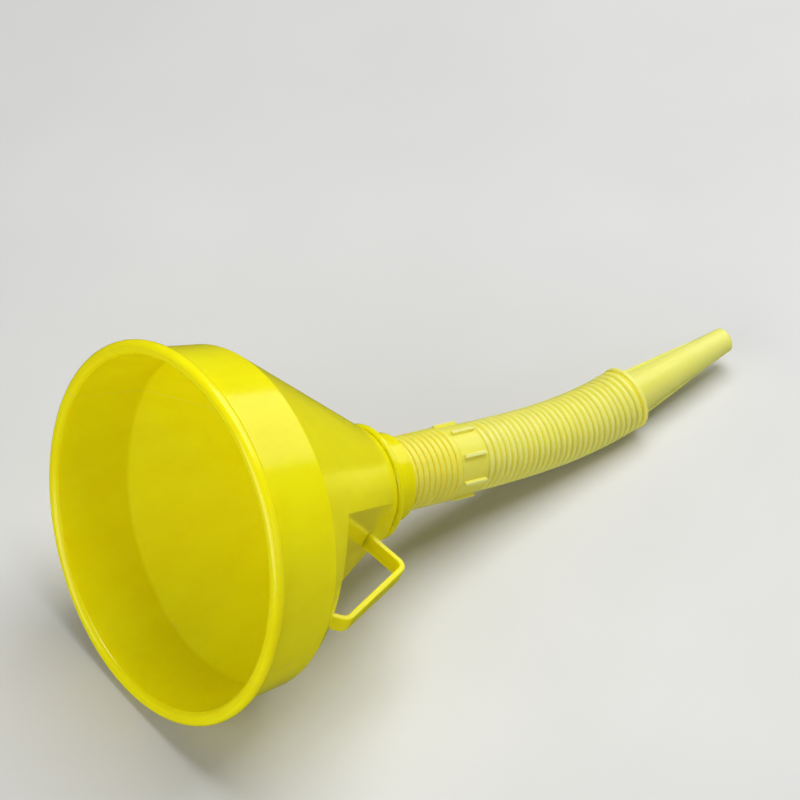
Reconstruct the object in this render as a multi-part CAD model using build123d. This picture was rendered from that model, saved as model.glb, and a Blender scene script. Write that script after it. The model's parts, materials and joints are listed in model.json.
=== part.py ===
from build123d import *
from math import atan, atan2, cos, sin
import os

# A funnel with a corrugated, bendable spout, lying on its side as it is put down on a bench.
# Each piece is first made in the funnel's own frame: the mouth is at x = 0, the axis runs
# along +X towards the spout, and +Z is the side that lies uppermost. lay_down() then tips
# it so that the rim and the end of the spout both rest on z = 0. Millimetres, degrees.

# Bowl: a rolled lip, a nearly straight wall, a shoulder and a cone, in one wall thickness
MOUTH_R = 80.0
LIP_BEAD_R = 3.0
LIP_FLAT = 0.15
LIP_FRONT_X = -2.0
LIP_STEP = 0.6
WALL_T = 2.4
SHOULDER_X = 33.5
SHOULDER_R = 72.4
NECK_X = 104.6
NECK_R = 24.3
SHOULDER_ROUND = 1.6
CREASE_ROUND = 3.0

# Neck: a thin flange, then a socket that takes the spout
FLANGE_R = 25.4
FLANGE_T = 3.0
SOCKET_END_X = 119.0
SOCKET_R = 20.3
SOCKET_END_R = 19.4
SOCKET_BORE_R = 15.5
SOCKET_GAP = 0.8

# Hand recess: a flat cut across the cone under the strap, with a ledge behind the shoulder
RECESS_CORNER_X = 50.0
RECESS_CORNER_R = 42.8
LEDGE_SLOPE = 0.45
FLOOR_SLOPE = 0.385
NECK_BOSS_R = 27.0

# Strap handle: a flat strip in one plane through the axis, turned down from the horizontal
HANDLE_ROLL = 101.8
STRAP_W = 7.6
STRAP_T = 2.5
STRAP_ROUND = 0.5

# Spout base: a plug with a snap bead, nine flat rings and a ribbed grip
PLUG_START_X = 106.5
PLUG_R = 15.2
BEAD_X = 109.4
BEAD_R = 16.0
SPOUT_BORE_R = 12.4
RING_COUNT = 9
RING_PITCH = 3.15
RING_R = 16.35
RING_GROOVE_W = 0.8
RING_GROOVE_DEPTH = 0.7
GRIP_R = 15.4
GRIP_LENGTH = 15.2
RIB_COUNT = 8
RIB_W = 1.8
RIB_HEIGHT = 1.6
RIB_SOFT = 0.4
RIB_LENGTH = 12.2
SPOUT_ROLL = 134.3

# The plug is a loose fit, so the spout leans a little in its socket
LEAN_X = 112.8
LEAN_DOWN = 0.6

# Corrugated hose: fourteen short lengths of two ridges, hinged in turn up-down and sideways.
# At rest it bends more and more towards its end, until the nozzle lies nearly level.
LINKS = 14
RIDGES_PER_LINK = 2
RIDGE_PITCH = 3.235
RIDGE_W = 1.3
RIDGE_START_R = 15.35
RIDGE_END_R = 14.75
RIDGE_HEIGHT = 1.1
HOSE_BORE_R = 12.4
RAISE = 16.4
SWING = 3.9
FIRST_WEIGHT = 0.3
END_RING_R = 15.0
END_RING_T = 1.9
END_RING_SOFT = 0.5

# Nozzle: a tapered tube with two fins, pushed into the end of the hose
NOZZLE_LENGTH = 62.0
NOZZLE_BASE_R = 9.7
NOZZLE_TIP_R = 5.9
NOZZLE_WALL = 1.5
NOZZLE_PLUG_R = 9.4
NOZZLE_PLUG_LENGTH = 6.0
NOZZLE_FIT = 0.3
SEAT_ROOM = 0.8
SEAT_TAPER = 1.6
FIN_BASE_HEIGHT = 1.9
FIN_END_HEIGHT = 0.15
FIN_W = 1.3
FIN_LENGTH = 45.0

# Clearance between pieces, chamfers, and how deep ribs and fins reach into their wall
GAP = 0.3
EDGE_SOFT = 0.6
ROOT = 0.8

WALL_MOUTH_R = MOUTH_R - LIP_BEAD_R - LIP_STEP
CONE_SLOPE = (SHOULDER_R - NECK_R) / (NECK_X - SHOULDER_X)
GRIP_START_X = SOCKET_END_X + SOCKET_GAP + RING_COUNT * RING_PITCH
GRIP_END_X = GRIP_START_X + GRIP_LENGTH
HINGE_GAP = RIDGE_PITCH - RIDGE_W
LINK_LENGTH = RIDGES_PER_LINK * RIDGE_PITCH


def turned(points):
    """A solid of revolution about the X axis from (x, radius) points."""
    section = make_face(Polyline(*[(x, 0, r) for x, r in points], close=True))
    return revolve(section, Axis.X)


def about_axis(solid, roll):
    """Turn a solid made on the +Z side so that it lies roll degrees round towards -Y."""
    return Rot(roll, 0, 0) * solid


def cone_outer_r(x):
    return SHOULDER_R - CONE_SLOPE * (x - SHOULDER_X)


def bowl_blank(inset):
    """The bowl's filled shape, drawn in by inset on every wall, from mouth to neck."""
    slant = inset * (1 + CONE_SLOPE ** 2) ** 0.5
    mouth_r = WALL_MOUTH_R - inset
    lean = (mouth_r + inset - SHOULDER_R) / SHOULDER_X
    corner_x = (cone_outer_r(0) - slant - mouth_r) / (CONE_SLOPE - lean)
    corner_r = mouth_r - lean * corner_x
    start_x = 0 if inset == 0 else -2 * LIP_BEAD_R
    start_r = mouth_r - lean * start_x
    return turned([
        (start_x, 0),
        (start_x, start_r),
        (corner_x, corner_r),
        (NECK_X, cone_outer_r(NECK_X) - slant),
        (NECK_X, 0),
    ])


def rounded_shoulder_centre():
    """Centre of the shoulder's rounding, on the side that lies lowest."""
    wall_angle = atan2(WALL_MOUTH_R - SHOULDER_R, SHOULDER_X)
    cone_angle = atan(CONE_SLOPE)
    half_turn = (cone_angle - wall_angle) / 2
    middle_angle = (cone_angle + wall_angle) / 2
    reach = SHOULDER_ROUND / cos(half_turn)
    return SHOULDER_X - reach * sin(middle_angle), 0, -(SHOULDER_R - reach * cos(middle_angle))


def recess_cutter(shift):
    """A prism across the handle side, outside the round boss, moved in by shift."""
    corner_x = RECESS_CORNER_X - shift * 0.9
    corner_r = RECESS_CORNER_R - shift * 1.1
    far_r = MOUTH_R
    ledge_x = corner_x - LEDGE_SLOPE * (far_r - corner_r)
    end_x = NECK_X
    end_r = corner_r - FLOOR_SLOPE * (end_x - corner_x)
    outline = Polyline(
        (ledge_x, 0, far_r),
        (corner_x, 0, corner_r),
        (end_x, 0, end_r),
        (end_x, 0, far_r),
        close=True,
    )
    prism = extrude(make_face(outline), MOUTH_R, both=True)
    boss = Pos(NECK_X, 0, 0) * Rot(0, 90, 0) * Cylinder(NECK_BOSS_R - shift, 2 * NECK_X)
    return about_axis(prism, HANDLE_ROLL) - boss


def lip():
    """The rolled lip: a round bead with a narrow flat front, to stand the mouth on."""
    centre = (lip_centre_x(), 0, MOUTH_R - LIP_BEAD_R)
    section = Plane(centre, x_dir=(1, 0, 0), z_dir=(0, -1, 0)) * Circle(LIP_BEAD_R)
    bead = revolve(section, Axis.X)
    front = Pos(LIP_FRONT_X - MOUTH_R, 0, 0) * Box(2 * MOUTH_R, 3 * MOUTH_R, 3 * MOUTH_R)
    return bead - front


def lip_centre_x():
    return LIP_FRONT_X + LIP_BEAD_R - LIP_FLAT


def rounded_blank(inset, radius):
    """The filled shape with its shoulder rounded: the second widest of its circles."""
    shell = bowl_blank(inset)
    circles = [edge for edge in shell.edges() if edge.geom_type == GeomType.CIRCLE]
    shoulder = sorted(circles, key=lambda edge: edge.radius)[-2]
    return fillet(shoulder, radius)


def bowl_outside():
    return rounded_blank(0, SHOULDER_ROUND) - recess_cutter(0)


def bowl():
    """Lip, wall, shoulder and cone in one moulding, open at the mouth and at the neck."""
    hollow = rounded_blank(WALL_T, CREASE_ROUND) - recess_cutter(WALL_T)
    return (bowl_outside() + lip()) - hollow


def neck():
    """Flange and socket. The bore opens into the cone through a tapered lead-in."""
    inner_r = cone_outer_r(NECK_X) - WALL_T * (1 + CONE_SLOPE ** 2) ** 0.5
    lead_in_x = NECK_X + (inner_r - SOCKET_BORE_R) / CONE_SLOPE
    return turned([
        (NECK_X, inner_r),
        (NECK_X, FLANGE_R - 0.5),
        (NECK_X + 0.5, FLANGE_R),
        (NECK_X + FLANGE_T - 0.5, FLANGE_R),
        (NECK_X + FLANGE_T, FLANGE_R - 0.5),
        (NECK_X + FLANGE_T, SOCKET_R),
        (SOCKET_END_X - EDGE_SOFT, SOCKET_END_R),
        (SOCKET_END_X, SOCKET_END_R - EDGE_SOFT),
        (SOCKET_END_X, SOCKET_BORE_R),
        (lead_in_x, SOCKET_BORE_R),
    ])


def handle():
    """The strap: out from the recess floor, along, and back round to the ledge."""
    root_x, root_r = 86.5, 24.0
    corner_x, corner_r = 94.0, 47.6
    bend_x, bend_r = 52.0, 65.2
    foot_x, foot_r = 41.0, 57.5
    middle = FilletPolyline(
        (root_x, 0, root_r),
        (corner_x, 0, corner_r),
        (bend_x, 0, bend_r),
        (foot_x, 0, foot_r),
        radius=[4.0, 5.0],
    )
    section = Plane(middle @ 0, x_dir=(0, 1, 0), z_dir=middle % 0) * RectangleRounded(
        STRAP_W, STRAP_T, STRAP_ROUND
    )
    strap = sweep(section, path=middle)
    return about_axis(strap, HANDLE_ROLL) - bowl_outside()


def spout_base():
    """Plug, snap bead, flat rings and ribbed grip, up to the first hinge of the hose."""
    outline = [
        (PLUG_START_X, SPOUT_BORE_R),
        (PLUG_START_X, PLUG_R - EDGE_SOFT),
        (PLUG_START_X + EDGE_SOFT, PLUG_R),
        (BEAD_X - 0.9, PLUG_R),
        (BEAD_X, BEAD_R),
        (BEAD_X + 0.9, PLUG_R),
        (SOCKET_END_X + SOCKET_GAP, PLUG_R),
    ]
    for i in range(RING_COUNT):
        start = SOCKET_END_X + SOCKET_GAP + i * RING_PITCH
        stop = start + RING_PITCH - RING_GROOVE_W
        outline += [
            (start, RING_R - 0.3),
            (start + 0.3, RING_R),
            (stop - 0.3, RING_R),
            (stop, RING_R - 0.3),
            (stop + 0.2, RING_R - RING_GROOVE_DEPTH),
            (stop + RING_GROOVE_W - 0.2, RING_R - RING_GROOVE_DEPTH),
        ]
    outline += [
        (GRIP_START_X, GRIP_R - 0.3),
        (GRIP_START_X + 0.5, GRIP_R),
        (GRIP_END_X - EDGE_SOFT, GRIP_R),
        (GRIP_END_X, GRIP_R - EDGE_SOFT),
        (GRIP_END_X, SPOUT_BORE_R),
    ]
    base = turned(outline)
    for i in range(RIB_COUNT):
        base += about_axis(grip_rib(), SPOUT_ROLL + i * 360 / RIB_COUNT)
    return base


def grip_rib():
    """One axial rib, a bar with softened edges standing on the grip's +Z side."""
    middle = (GRIP_START_X + GRIP_END_X) / 2
    pad = Pos(middle, 0, GRIP_R - ROOT) * RectangleRounded(RIB_LENGTH, RIB_W, RIB_SOFT)
    rib = extrude(pad, RIB_HEIGHT + ROOT)
    top = rib.edges().group_by(Axis.Z)[-1]
    return fillet(top, RIB_SOFT)


def ridge_points(start, ridge_r):
    """One rounded ridge of the hose, from x = start, with the web after it left out."""
    soft = 0.4
    web_r = ridge_r - RIDGE_HEIGHT
    return [
        (start, web_r),
        (start + 0.1, ridge_r - soft),
        (start + soft, ridge_r),
        (start + RIDGE_W - soft, ridge_r),
        (start + RIDGE_W - 0.1, ridge_r - soft),
        (start + RIDGE_W, web_r),
    ]


def hose_link(number):
    """Two ridges and their web. x = 0 is the hinge before it; the last link ends in a ring."""
    first = HINGE_GAP / 2
    along = (number - 1) / (LINKS - 1)
    ridge_r = RIDGE_START_R + along * (RIDGE_END_R - RIDGE_START_R)
    outline = [(first, HOSE_BORE_R)]
    for i in range(RIDGES_PER_LINK):
        outline += ridge_points(first + i * RIDGE_PITCH, ridge_r)
    last = first + (RIDGES_PER_LINK - 1) * RIDGE_PITCH + RIDGE_W
    if number < LINKS:
        return turned(outline + [(last, HOSE_BORE_R)])
    ring_x = last + RIDGE_PITCH - RIDGE_W
    bore_r = NOZZLE_PLUG_R + NOZZLE_FIT
    seat_x = ring_x + END_RING_T - NOZZLE_PLUG_LENGTH - SEAT_ROOM
    return turned(outline + [
        (ring_x, ridge_r - RIDGE_HEIGHT),
        (ring_x + 0.1, END_RING_R - END_RING_SOFT),
        (ring_x + END_RING_SOFT, END_RING_R),
        (ring_x + END_RING_T - END_RING_SOFT, END_RING_R),
        (ring_x + END_RING_T, END_RING_R - END_RING_SOFT),
        (ring_x + END_RING_T, bore_r),
        (seat_x, bore_r),
        (seat_x - SEAT_TAPER, HOSE_BORE_R),
    ])


def hose_end_x():
    """Where the hose's end face stands, from the last hinge."""
    return HINGE_GAP / 2 + LINK_LENGTH + END_RING_T


def nozzle():
    """Tapered tube with a plug end and two fins. x = 0 is the shoulder that meets the hose."""
    tip_soft = 0.7
    tube = turned([
        (-NOZZLE_PLUG_LENGTH, NOZZLE_PLUG_R - NOZZLE_WALL),
        (-NOZZLE_PLUG_LENGTH, NOZZLE_PLUG_R),
        (0, NOZZLE_PLUG_R),
        (0, NOZZLE_BASE_R + NOZZLE_FIT),
        (NOZZLE_LENGTH - tip_soft, NOZZLE_TIP_R),
        (NOZZLE_LENGTH, NOZZLE_TIP_R - tip_soft),
        (NOZZLE_LENGTH, NOZZLE_TIP_R - NOZZLE_WALL),
    ])
    taper = (NOZZLE_BASE_R - NOZZLE_TIP_R) / NOZZLE_LENGTH
    end_r = NOZZLE_BASE_R - taper * FIN_LENGTH
    side = Polyline(
        (0, 0, NOZZLE_BASE_R - ROOT),
        (0, 0, NOZZLE_BASE_R + FIN_BASE_HEIGHT),
        (FIN_LENGTH, 0, end_r + FIN_END_HEIGHT),
        (FIN_LENGTH, 0, end_r - ROOT),
        close=True,
    )
    fin = extrude(make_face(side), FIN_W / 2, both=True)
    for roll in (SPOUT_ROLL, SPOUT_ROLL + 180):
        tube += about_axis(fin, roll)
    return tube


def bend_shares():
    """What part of the whole bend each hinge of one direction takes: more near the end."""
    count = LINKS // 2
    weights = [number + FIRST_WEIGHT for number in range(count)]
    return [weight / sum(weights) for weight in weights]


def spout_frame():
    """Where the spout sits: on the funnel's axis, but for its lean in the socket."""
    return Pos(LEAN_X, 0, 0) * Rot(0, LEAN_DOWN, 0) * Pos(-LEAN_X, 0, 0)


def hose_frames():
    """Location of each hinge at rest: odd hinges raise the spout, even ones swing it."""
    shares = bend_shares()
    here = spout_frame() * Pos(GRIP_END_X + HINGE_GAP / 2, 0, 0)
    frames = []
    for number in range(1, LINKS + 1):
        share = shares[(number - 1) // 2]
        if number % 2:
            here = here * Rot(0, -RAISE * share, 0)
        else:
            here = here * Rot(0, 0, SWING * share)
        frames.append(here)
        here = here * Pos(LINK_LENGTH, 0, 0)
    return frames


def resting_tilt():
    """How far the axis dips when the shoulder of the bowl and the hose's end ring lie down."""
    hose_end = hose_frames()[-1] * Pos(hose_end_x(), 0, 0)
    low, high = 0.0, 45.0
    while high - low > 1e-6:
        tilt = (low + high) / 2
        tipped = Rot(0, tilt, 0)
        bead = tipped * Pos(lip_centre_x(), 0, -(MOUTH_R - LIP_BEAD_R))
        shoulder = tipped * Pos(*rounded_shoulder_centre())
        bowl_low = min(bead.position.Z - LIP_BEAD_R, shoulder.position.Z - SHOULDER_ROUND)
        ring_low = (tipped * hose_end).position.Z - END_RING_R
        if ring_low > bowl_low:
            low = tilt
        else:
            high = tilt
    return tilt


def in_own_frame():
    """Every piece by name, still in the funnel's own frame."""
    frames = hose_frames()
    pieces = {
        "bowl": bowl(),
        "neck_socket": neck(),
        "strap_handle": handle(),
        "spout_base": spout_frame() * spout_base(),
    }
    for number, frame in enumerate(frames, 1):
        pieces[f"hose_link_{number:02d}"] = frame * hose_link(number)
    pieces["nozzle"] = frames[-1] * Pos(hose_end_x() + GAP, 0, 0) * nozzle()
    return pieces


def lay_down(pieces):
    """Tip the funnel onto the bench and centre it over the origin."""
    tipped = Rot(0, resting_tilt(), 0)
    box = Compound(children=[tipped * p for p in pieces.values()]).bounding_box()
    return Pos(-box.center().X, -box.center().Y, -box.min.Z) * tipped


def main():
    pieces = in_own_frame()
    rest = lay_down(pieces)
    os.makedirs("parts", exist_ok=True)
    for name, piece in pieces.items():
        export_step(rest * piece, f"parts/{name}.step")


if __name__ == "__main__":
    main()
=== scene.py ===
import json
import math
from collections import namedtuple

import bmesh
import bpy
import numpy as np
from mathutils import Matrix, Vector


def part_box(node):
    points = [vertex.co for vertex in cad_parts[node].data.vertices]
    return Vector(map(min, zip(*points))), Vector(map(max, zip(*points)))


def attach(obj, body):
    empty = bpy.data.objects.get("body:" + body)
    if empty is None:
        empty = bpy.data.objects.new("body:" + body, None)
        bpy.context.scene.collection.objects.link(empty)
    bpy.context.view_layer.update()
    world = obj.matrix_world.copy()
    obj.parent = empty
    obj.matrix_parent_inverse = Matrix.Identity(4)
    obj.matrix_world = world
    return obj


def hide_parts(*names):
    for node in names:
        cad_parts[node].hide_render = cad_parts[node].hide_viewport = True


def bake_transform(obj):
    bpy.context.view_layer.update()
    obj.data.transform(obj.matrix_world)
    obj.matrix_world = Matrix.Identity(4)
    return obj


# A yellow fuel funnel lying on its side. The body, its socket and strap, the rings and grip of
# the spout and the nozzle are the CAD nodes with their own materials. The corrugated hose is
# built here as one continuous skin, cut at the middle of each hose link, and each cut length
# bends over one hinge. Three slivers of mould flash are added to the body. Metres throughout,
# in the frame of the CAD model, unless a name or comment says millimetres.

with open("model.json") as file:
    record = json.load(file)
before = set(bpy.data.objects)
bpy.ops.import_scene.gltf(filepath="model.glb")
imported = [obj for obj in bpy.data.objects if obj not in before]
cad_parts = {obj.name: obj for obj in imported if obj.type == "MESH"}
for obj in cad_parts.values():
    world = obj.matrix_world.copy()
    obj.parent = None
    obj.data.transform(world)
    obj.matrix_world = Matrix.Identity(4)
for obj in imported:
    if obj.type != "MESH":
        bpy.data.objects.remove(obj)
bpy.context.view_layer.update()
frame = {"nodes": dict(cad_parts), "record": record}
joints = {j["name"]: j for j in frame["record"]["behaviour"]["joints"]}

MM = 0.001
LINKS = 14
PITCH = 3.235 * MM
RIDGE_START_R = 15.35 * MM
RIDGE_END_R = 14.75 * MM
GROOVE_DEPTH = 1.0 * MM
BORE_R = 12.6 * MM
END_RING_R = 15.0 * MM
END_RING_T = 1.9 * MM
NOZZLE_BORE_R = 9.7 * MM
HINGE_HALF_GAP = 0.9675 * MM
END_RING_SOFT = 0.45 * MM
SEAT_SOFT = 0.4 * MM
SEAT_DEPTH = 4.5 * MM
SEAT_TAPER = 0.5 * MM
RIDGE_FULLNESS = 0.62
AROUND = 144
STEPS = 14

# How far along the spout its ring grooves end, and the outlines that rings, ribs and fins stand out of.
GRIP_R = 15.4 * MM
GROOVES_END = 35.3 * MM
RING_CREST = 0.9 * MM
NOZZLE_SHOULDER_X = 9.6 * MM
NOZZLE_SHOULDER_R = 10.0 * MM
NOZZLE_SLOPE = -0.0669
FIN_CREST = 0.5 * MM
NO_GROOVES = -1.0

# Noise scales of the plastic, from the broad drift of colour to the fine grain.
FLOW_SCALE = 22.0
WAVE_SCALE = 38.0
CLOUD_SCALE = 60.0
SCUFF_SCALE = 140.0
SEAM_SCALE = 300.0
SPECK_SCALE = 420.0
GRAIN_SCALE = 1900.0

# Depths of the bumps, and how far light travels inside the plastic.
WAVE_DEPTH = 0.0012
GRAIN_DEPTH = 0.00006
SEAM_DEPTH = 0.00015
SEAM_HALF_WIDTH = 0.00008
SEAM_WANDER = 0.00012
SCATTER_DEPTH = 0.006
PLASTIC_IOR = 1.46
# pale colour of the painted glint along the parting line's ridge
SEAM_GLINT = (0.93, 0.90, 0.45)

# the last field is the colour of the painted highlight on the tops of rings, ribs and fins
Relief = namedtuple("Relief", "point axis radius slope grooves_end crest edge")


def unit(v):
    return v / np.linalg.norm(v)


# ---------------------------------------------------------------- materials


class Nodes:
    """Short names for building a node tree."""

    def __init__(self, name):
        self.material = bpy.data.materials.new(name)
        self.material.use_nodes = True
        self.tree = self.material.node_tree
        self.shader = self.tree.nodes["Principled BSDF"]
        self.place = self.add("ShaderNodeTexCoord").outputs["Object"]

    def add(self, kind, **settings):
        node = self.tree.nodes.new(kind)
        for key, value in settings.items():
            setattr(node, key, value)
        return node

    def put(self, socket, value):
        if isinstance(value, bpy.types.NodeSocket):
            self.tree.links.new(value, socket)
        else:
            socket.default_value = value

    def math(self, operation, a, b=0.0, c=0.0, clamp=False):
        node = self.add("ShaderNodeMath", operation=operation, use_clamp=clamp)
        for socket, value in zip(node.inputs, (a, b, c)):
            self.put(socket, value)
        return node.outputs[0]

    def noise(self, scale, detail=2.0, rough=0.5, stretch=None):
        node = self.add("ShaderNodeTexNoise")
        self.put(node.inputs["Scale"], scale)
        self.put(node.inputs["Detail"], detail)
        self.put(node.inputs["Roughness"], rough)
        place = self.place
        if stretch is not None:
            mapping = self.add("ShaderNodeMapping")
            self.put(mapping.inputs["Scale"], stretch)
            self.put(mapping.inputs["Vector"], place)
            place = mapping.outputs[0]
        self.put(node.inputs["Vector"], place)
        return node.outputs["Fac"]

    def ramp(self, value, low, high, out_low=0.0, out_high=1.0):
        node = self.add("ShaderNodeMapRange", clamp=True)
        for socket, v in zip(node.inputs, (value, low, high, out_low, out_high)):
            self.put(socket, v)
        return node.outputs[0]

    def mix(self, factor, a, b, blend="MIX"):
        node = self.add("ShaderNodeMix", data_type="RGBA", blend_type=blend)
        self.put(node.inputs["Factor"], factor)
        for socket, value in ((node.inputs[6], a), (node.inputs[7], b)):
            self.put(socket, value if isinstance(value, bpy.types.NodeSocket) else (*value, 1))
        return node.outputs[2]

    def plane_distance(self, point, normal):
        """Distance from a plane in the object's own space, never negative."""
        shift = self.add("ShaderNodeVectorMath", operation="SUBTRACT")
        self.put(shift.inputs[0], self.place)
        self.put(shift.inputs[1], tuple(point))
        dot = self.add("ShaderNodeVectorMath", operation="DOT_PRODUCT")
        self.put(dot.inputs[0], shift.outputs[0])
        self.put(dot.inputs[1], tuple(normal))
        return self.math("ABSOLUTE", dot.outputs["Value"])

    def along_and_out(self, point, axis):
        """How far along an axis a point is, and how far out from it."""
        shift = self.add("ShaderNodeVectorMath", operation="SUBTRACT")
        self.put(shift.inputs[0], self.place)
        self.put(shift.inputs[1], tuple(point))
        along = self.add("ShaderNodeVectorMath", operation="DOT_PRODUCT")
        self.put(along.inputs[0], shift.outputs[0])
        self.put(along.inputs[1], tuple(axis))
        across = self.add("ShaderNodeVectorMath", operation="CROSS_PRODUCT")
        self.put(across.inputs[0], shift.outputs[0])
        self.put(across.inputs[1], tuple(axis))
        out = self.add("ShaderNodeVectorMath", operation="LENGTH")
        self.put(out.inputs[0], across.outputs[0])
        return along.outputs["Value"], out.outputs["Value"]

    def bump(self, height, strength, distance, under=None):
        node = self.add("ShaderNodeBump")
        self.put(node.inputs["Strength"], strength)
        self.put(node.inputs["Distance"], distance)
        self.put(node.inputs["Height"], height)
        if under is not None:
            self.put(node.inputs["Normal"], under)
        return node.outputs[0]


def drifting_colour(n, base, pale, deep):
    """The colour of the plastic, with broad flow, soft clouds and a few dark specks."""
    flow = n.noise(FLOW_SCALE, 3.0, 0.55, (1.0, 2.6, 2.6))
    colour = n.mix(n.ramp(flow, 0.32, 0.72), base, pale)
    cloud = n.noise(CLOUD_SCALE, 4.0, 0.6)
    colour = n.mix(n.ramp(cloud, 0.55, 0.85, 0.0, 0.35), colour, deep)
    specks = n.ramp(n.noise(SPECK_SCALE, 1.0, 0.4), 0.80, 0.84)
    return n.mix(n.math("MULTIPLY", specks, 0.35), colour, deep)


def relief_shade_and_highlight(n, colour, deep, relief):
    """Painted shade in the sunk grooves and a painted highlight on the tops of what stands out."""
    along, out = n.along_and_out(relief.point, relief.axis)
    outline = n.math("MULTIPLY_ADD", along, relief.slope, relief.radius)
    proud = n.math("SUBTRACT", out, outline)
    crest = relief.crest
    # painted shade: the sunk grooves between the rings are painted a deeper colour
    painted_sunk_shade = n.ramp(proud, crest * 0.5, crest * 0.9, 0.8, 0.0)
    low = n.math("MULTIPLY", painted_sunk_shade, n.math("LESS_THAN", along, relief.grooves_end))
    colour = n.mix(low, colour, deep)
    # painted highlight: the tops of the rings, ribs and fins are painted paler
    return n.mix(n.ramp(proud, crest * 1.15, crest * 1.5, 0.0, 0.55), colour, relief.edge)


def parting_line(n, seam):
    """1 on the mould's parting plane, falling to 0 beside it, with a width that wanders a little."""
    gap = n.plane_distance(*seam)
    width = n.math("MULTIPLY_ADD", n.noise(SEAM_SCALE, 1.0), SEAM_WANDER, SEAM_HALF_WIDTH)
    return n.math("SUBTRACT", 1.0, n.math("DIVIDE", gap, width, clamp=True), clamp=True)


def moulded(
    name, base, pale, deep, rough, glow, scatter, seam=None, groove=False, wave=0.25, relief=None
):
    """Moulded polyethylene: drifting colour, faint waves, fine grain, scuffs and a parting line painted
    paler as a glint; where asked, painted shade in the grooves and painted highlights on what stands
    out.
    """
    n = Nodes(name)
    colour = drifting_colour(n, base, pale, deep)
    # painted shade: by the height attribute, the hose's grooves and its bore are painted a deeper
    # colour
    if groove:
        attribute = n.add("ShaderNodeAttribute", attribute_name="height")
        colour = n.mix(n.ramp(attribute.outputs["Fac"], 0.05, 0.75, 0.85, 0.0), colour, deep)
    if relief is not None:
        colour = relief_shade_and_highlight(n, colour, deep, relief)
    normal = n.bump(n.noise(WAVE_SCALE, 1.0, 0.4), wave, WAVE_DEPTH)
    normal = n.bump(n.noise(GRAIN_SCALE, 3.0, 0.6), 0.16, GRAIN_DEPTH, normal)
    if seam is not None:
        line = parting_line(n, seam)
        normal = n.bump(line, 0.8, SEAM_DEPTH, normal)
        # the ridge of the parting line is real and bumped above; its paler colour is a painted glint
        colour = n.mix(n.math("MULTIPLY", line, 0.45), colour, SEAM_GLINT)
    scuff = n.ramp(n.noise(SCUFF_SCALE, 5.0, 0.7, (1.0, 4.0, 1.0)), 0.58, 0.78, 0.0, 0.16)
    n.put(n.shader.inputs["Base Color"], colour)
    n.put(n.shader.inputs["Roughness"], n.math("ADD", scuff, rough))
    n.put(n.shader.inputs["Normal"], normal)
    n.put(n.shader.inputs["IOR"], PLASTIC_IOR)
    n.put(n.shader.inputs["Specular IOR Level"], 0.45)
    n.put(n.shader.inputs["Specular Tint"], (1.0, 0.98, 0.85, 1.0))
    n.put(n.shader.inputs["Subsurface Weight"], glow)
    n.put(n.shader.inputs["Subsurface Radius"], scatter)
    n.put(n.shader.inputs["Subsurface Scale"], SCATTER_DEPTH)
    return n.material


def parting_plane():
    """The mould's parting plane: it holds the funnel's axis and the middle of the strap."""
    axis = -Vector(frame["record"]["mounts"][0]["axis"])
    low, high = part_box("strap_handle")
    strap = (low + high) / 2
    low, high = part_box("neck_socket")
    neck = (low + high) / 2
    side = (strap - neck) - axis * (strap - neck).dot(axis)
    normal = axis.cross(side).normalized()
    return neck, normal


def spout_relief():
    """Rings, grooves and ribs of the spout's base, by how far they stand out of the grip."""
    joint = joints["spout_turn"]
    # colour of the painted highlight on the tops of the spout's rings and ribs
    edge = (0.95, 0.93, 0.42)
    return Relief(joint["pos_m"], joint["axis"], GRIP_R, 0.0, GROOVES_END, RING_CREST, edge)


def nozzle_relief():
    """The fins, told apart by how far they stand out of the tapering tube."""
    axis = np.array(joints["nozzle_pull"]["axis"])
    shoulder = np.array(joints["hose_swing_7"]["pos_m"]) + axis * NOZZLE_SHOULDER_X
    # colour of the painted highlight on the tops of the fins
    edge = (0.95, 0.93, 0.45)
    return Relief(shoulder, axis, NOZZLE_SHOULDER_R, NOZZLE_SLOPE, NO_GROOVES, FIN_CREST, edge)


SEAM = parting_plane()
BODY_YELLOW = moulded(
    "body_yellow", (0.90, 0.79, 0.002), (0.94, 0.845, 0.005), (0.84, 0.69, 0.001),
    rough=0.17, glow=0.60, scatter=(1.0, 0.8, 0.02), seam=SEAM, wave=0.2,
)
SPOUT_YELLOW = moulded(
    "spout_yellow", (0.90, 0.83, 0.10), (0.93, 0.86, 0.15), (0.90, 0.74, 0.006),
    rough=0.30, glow=0.50, scatter=(1.0, 0.8, 0.10), relief=spout_relief(),
)
HOSE_YELLOW = moulded(
    "hose_yellow", (0.91, 0.87, 0.19), (0.94, 0.90, 0.25), (0.92, 0.78, 0.01),
    # groove=True paints shade into the hose's grooves and bore
    rough=0.34, glow=0.45, scatter=(1.0, 0.8, 0.12), groove=True,
)
NOZZLE_YELLOW = moulded(
    "nozzle_yellow", (0.90, 0.86, 0.17), (0.93, 0.89, 0.22), (0.84, 0.74, 0.04),
    rough=0.34, glow=0.45, scatter=(1.0, 0.8, 0.12), relief=nozzle_relief(),
)

NODE_MATERIAL = {
    "bowl": BODY_YELLOW,
    "neck_socket": BODY_YELLOW,
    "strap_handle": BODY_YELLOW,
    "spout_base": SPOUT_YELLOW,
    "nozzle": NOZZLE_YELLOW,
}
for name, material in NODE_MATERIAL.items():
    mesh = frame["nodes"][name].data
    mesh.materials.clear()
    mesh.materials.append(material)


# ---------------------------------------------------------------- corrugated hose


def hinge_points():
    order = []
    for number in range(1, LINKS + 1):
        kind = "raise" if number % 2 else "swing"
        order.append(np.array(joints[f"hose_{kind}_{(number + 1) // 2}"]["pos_m"]))
    return order


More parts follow.
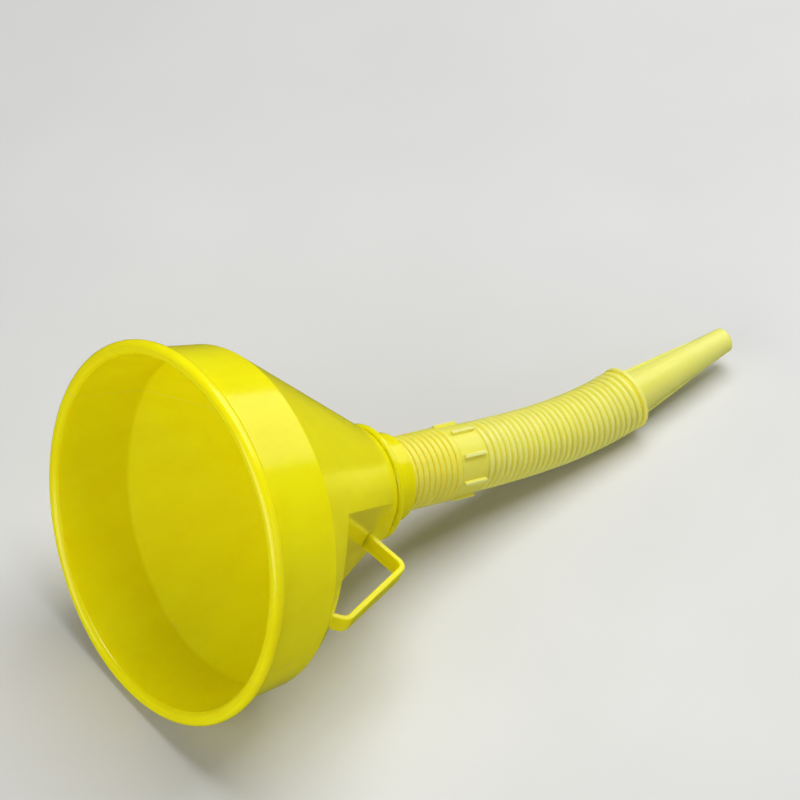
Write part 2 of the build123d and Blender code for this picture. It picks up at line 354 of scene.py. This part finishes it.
HINGES = hinge_points()
HOSE_END_DIR = unit(np.array(joints["nozzle_pull"]["axis"]))
BASE_DIR = unit(np.array(joints["spout_turn"]["axis"]))
LINK_DIRS = [unit(HINGES[i + 1] - HINGES[i]) for i in range(LINKS - 1)] + [HOSE_END_DIR]


def ridge_r(number):
    along = (number - 1) / (LINKS - 1)
    return RIDGE_START_R + along * (RIDGE_END_R - RIDGE_START_R)


def corrugation(phase):
    """Height of the hose's surface above its groove, from 0 to 1. phase 0 is the middle of a groove."""
    wave = 0.5 - 0.5 * math.cos(2 * math.pi * phase)
    return wave**RIDGE_FULLNESS


def circle(point, direction, radius):
    """Points around a ring that faces along the direction."""
    up = unit(np.array([0, 0, 1.0]) - direction * direction[2])
    side = np.cross(direction, up)
    turns = [2 * math.pi * k / AROUND for k in range(AROUND)]
    return [point + radius * (math.cos(a) * up + math.sin(a) * side) for a in turns]


def tube_mesh(name, rings, heights):
    """The outer skin through (point, direction, radius) rings, and the bore inside it."""
    vertices, tint = [], []
    for (point, direction, radius), height in zip(rings, heights):
        vertices += circle(point, direction, radius)
        tint += [height] * AROUND
    # the bore has height 0, so it takes the painted shade of the grooves
    for point, direction, _ in rings:
        vertices += circle(point, direction, BORE_R)
        tint += [0.0] * AROUND
    count = len(rings)
    faces = []
    for r in range(count - 1):
        for k in range(AROUND):
            j = (k + 1) % AROUND
            a, b = r * AROUND, (r + 1) * AROUND
            faces.append((a + k, b + k, b + j, a + j))
            a, b = (count + r) * AROUND, (count + r + 1) * AROUND
            faces.append((a + k, a + j, b + j, b + k))
    return add_mesh(name, vertices, faces, tint)


def add_mesh(name, vertices, faces, tint, material=HOSE_YELLOW):
    """A smooth mesh whose height attribute tells its material what is groove, painted in shade, and
    what is crest.
    """
    mesh = bpy.data.meshes.new(name)
    mesh.from_pydata([tuple(v) for v in vertices], [], faces)
    height = mesh.attributes.new("height", "FLOAT", "POINT")
    height.data.foreach_set("value", np.array(tint, np.float32))
    built = bmesh.new()
    built.from_mesh(mesh)
    bmesh.ops.recalc_face_normals(built, faces=built.faces)
    built.to_mesh(mesh)
    built.free()
    mesh.polygons.foreach_set("use_smooth", [True] * len(mesh.polygons))
    mesh.materials.append(material)
    piece = bpy.data.objects.new(name, mesh)
    bpy.context.scene.collection.objects.link(piece)
    return piece


def bezier(a, b, c, t):
    """Point and direction at t on the curve from a to c that bends towards b."""
    point = (1 - t) ** 2 * a + 2 * t * (1 - t) * b + t * t * c
    direction = unit((1 - t) * (b - a) + t * (c - b))
    return point, direction


def hose_span(number):
    """The skin over one hinge, from the middle of the link before it to the middle of its own link."""
    hinge = HINGES[number - 1]
    before = BASE_DIR if number == 1 else LINK_DIRS[number - 2]
    after = LINK_DIRS[number - 1]
    reach = HINGE_HALF_GAP if number == 1 else PITCH
    start = hinge - before * reach
    end = hinge + after * PITCH
    r0 = ridge_r(max(number - 0.5, 1))
    r1 = ridge_r(min(number + 0.5, LINKS))
    rings, heights = [], []
    count = 2 * STEPS if number > 1 else STEPS + STEPS // 2
    for i in range(count + 1):
        t = i / count
        point, direction = bezier(start, hinge, end, t)
        travelled = -reach + t * (reach + PITCH)
        height = corrugation(travelled / PITCH)
        if number == 1 and travelled < 0:
            height = 0.0
        crest = r0 + t * (r1 - r0)
        rings.append((point, direction, crest - GROOVE_DEPTH * (1 - height)))
        heights.append(height)
    piece = tube_mesh(f"hose_skin_{number:02d}", rings, heights)
    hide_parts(f"hose_link_{number:02d}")
    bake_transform(piece)


def hose_end():
    """The last ridge of the hose and its plain end ring, with the bore that holds the nozzle."""
    start = HINGES[-1] + HOSE_END_DIR * PITCH
    outline = []
    for i in range(STEPS + 1):
        t = i / STEPS
        height = corrugation(t)
        outline.append((t * PITCH, RIDGE_END_R - GROOVE_DEPTH * (1 - height), height))
    foot = outline[-1][1]
    ring = PITCH + HINGE_HALF_GAP
    last = ring + END_RING_T
    outline += [
        (ring - 0.15 * MM, foot, 0.0),
        (ring, foot + 0.2 * MM, 0.3),
        (ring + 0.12 * MM, END_RING_R - 0.35 * MM, 0.8),
        (ring + 0.45 * MM, END_RING_R, 1.0),
    ]
    soft = END_RING_SOFT
    for turn in range(0, 91, 15):
        a = math.radians(turn)
        x = last - soft + soft * math.sin(a)
        outline.append((x, END_RING_R - soft + soft * math.cos(a), 1.0))
    soft = SEAT_SOFT
    for turn in range(0, 91, 30):
        a = math.radians(turn)
        x = last - soft + soft * math.cos(a)
        outline.append((x, NOZZLE_BORE_R + soft - soft * math.sin(a), 0.6))
    outline += [
        (last - SEAT_DEPTH, NOZZLE_BORE_R, 0.0),
        (last - SEAT_DEPTH - SEAT_TAPER, BORE_R, 0.0),
        (0.0, BORE_R, 0.0),
    ]
    vertices, faces, tint = [], [], []
    for x, radius, height in outline:
        vertices += circle(start + HOSE_END_DIR * x, HOSE_END_DIR, radius)
        tint += [height] * AROUND
    for r in range(len(outline) - 1):
        for k in range(AROUND):
            j = (k + 1) % AROUND
            a, b = r * AROUND, (r + 1) * AROUND
            faces.append((a + k, b + k, b + j, a + j))
    piece = add_mesh("hose_end_ring", vertices, faces, tint)
    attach(piece, f"hose_link_{LINKS:02d}")


for link in range(1, LINKS + 1):
    hose_span(link)
hose_end()


# ---------------------------------------------------------------- mould flash


# All in millimetres: where the lip's front is on the funnel's axis, and a sliver's root and thickness.
LIP_FRONT = -2.0
FLASH_ROOT = 0.4
FLASH_FOOT_HALF = 0.16
FLASH_CREST_HALF = 0.07
FLASH_STEPS = 28


def parting_frame():
    """The middle of the mouth, the funnel's axis, and the way out from it towards the strap."""
    neck, normal = SEAM
    axis = -Vector(frame["record"]["mounts"][0]["axis"])
    out = normal.cross(axis).normalized()
    rim = Vector(frame["record"]["mounts"][0]["pos_m"])
    middle = neck + axis * (rim - neck).dot(axis)
    return middle, axis, out, normal


def flash(name, start, end, height):
    """A ragged sliver on the parting line, from one (x, radius) to another, in millimetres."""
    middle, axis, out, across = parting_frame()
    vertices, faces = [], []
    for i in range(FLASH_STEPS + 1):
        t = i / FLASH_STEPS
        x = start[0] + t * (end[0] - start[0])
        foot = start[1] + t * (end[1] - start[1])
        ragged = 0.68 + 0.32 * math.sin(15 * t + 2.5 * math.sin(8 * t))
        crest = foot + height * ragged * math.sin(math.pi * t) ** 0.4
        for radius, half in ((foot - FLASH_ROOT, FLASH_FOOT_HALF), (crest, FLASH_CREST_HALF)):
            for side in (-1, 1):
                place = middle + axis * (x - LIP_FRONT) * MM + out * radius * MM
                vertices.append(place + across * side * half * MM)
    for i in range(FLASH_STEPS):
        a, b = 4 * i, 4 * (i + 1)
        for j, k in ((0, 1), (1, 3), (3, 2), (2, 0)):
            faces.append((a + j, a + k, b + k, b + j))
    last = 4 * FLASH_STEPS
    faces += [(0, 2, 3, 1), (last, last + 1, last + 3, last + 2)]
    piece = add_mesh(name, vertices, faces, [1.0] * len(vertices), BODY_YELLOW)
    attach(piece, "funnel")


flash("flash_flange", (104.5, 25.3), (107.4, 25.3), 0.6)
flash("flash_socket", (112.0, 20.0), (118.8, 19.4), 0.4)
flash("fleck_cone", (40.3, 67.7), (41.8, 66.7), 0.7)


# ---------------------------------------------------------------- studio


FLOOR_REACH = 4.0
CAMERA_PLACE = (-0.6023135, -0.7887599, 1.0057313)
CAMERA_VIEW = (0.4313430, 0.5875068, -0.6846743)
CAMERA_RIGHT = (0.8060747, -0.5918138, 0.0)


def studio_floor():
    """A pale floor. Reflections leave it out, so that the glossy bowl doesn't mirror it."""
    n = Nodes("pale_floor")
    tone = n.noise(6.0, 3.0, 0.5)
    colour = n.mix(n.ramp(tone, 0.3, 0.7), (0.66, 0.66, 0.65), (0.70, 0.70, 0.69))
    n.put(n.shader.inputs["Base Color"], colour)
    n.put(n.shader.inputs["Roughness"], 0.55)
    mesh = bpy.data.meshes.new("floor")
    reach = FLOOR_REACH
    corners = [(-reach, -reach, 0), (reach, -reach, 0), (reach, reach, 0), (-reach, reach, 0)]
    mesh.from_pydata(corners, [], [(0, 1, 2, 3)])
    mesh.materials.append(n.material)
    floor = bpy.data.objects.new("floor", mesh)
    bpy.context.scene.collection.objects.link(floor)
    floor.visible_glossy = False


def softbox(name, place, target, width, height, power):
    data = bpy.data.lights.new(name, "AREA")
    data.shape = "RECTANGLE"
    data.size = width
    data.size_y = height
    data.energy = power
    light = bpy.data.objects.new(name, data)
    light.location = place
    light.rotation_euler = (Vector(target) - Vector(place)).to_track_quat("-Z", "Y").to_euler()
    bpy.context.scene.collection.objects.link(light)


def camera():
    data = bpy.data.cameras.new("camera")
    data.sensor_width = 36.0
    data.lens = 144.0
    data.clip_start = 0.05
    data.clip_end = 30.0
    holder = bpy.data.objects.new("camera", data)
    bpy.context.scene.collection.objects.link(holder)
    right = Vector(CAMERA_RIGHT).normalized()
    back = -Vector(CAMERA_VIEW).normalized()
    up = back.cross(right).normalized()
    right = up.cross(back)
    turn = Matrix((right, up, back)).transposed().to_4x4()
    holder.matrix_world = Matrix.Translation(Vector(CAMERA_PLACE)) @ turn
    bpy.context.scene.camera = holder


studio_floor()
softbox("key", (0.35, 0.10, 1.25), (-0.02, 0.0, 0.05), 1.1, 0.9, 14.5)
softbox("back", (1.28, 0.15, 0.95), (-0.05, 0.0, 0.08), 1.2, 0.9, 6.0)
softbox("fill", (-1.5, -0.35, 0.65), (-0.08, 0.0, 0.08), 1.6, 1.1, 15.0)
softbox("side", (0.10, -1.35, 0.65), (0.0, 0.0, 0.05), 1.2, 0.8, 2.5)
world = bpy.data.worlds.new("studio")
bpy.context.scene.world = world
world.use_nodes = True
sky = world.node_tree.nodes["Background"]
sky.inputs["Color"].default_value = (0.92, 0.95, 1.0, 1)
sky.inputs["Strength"].default_value = 0.05
bpy.context.scene.view_settings.view_transform = "Standard"
camera()
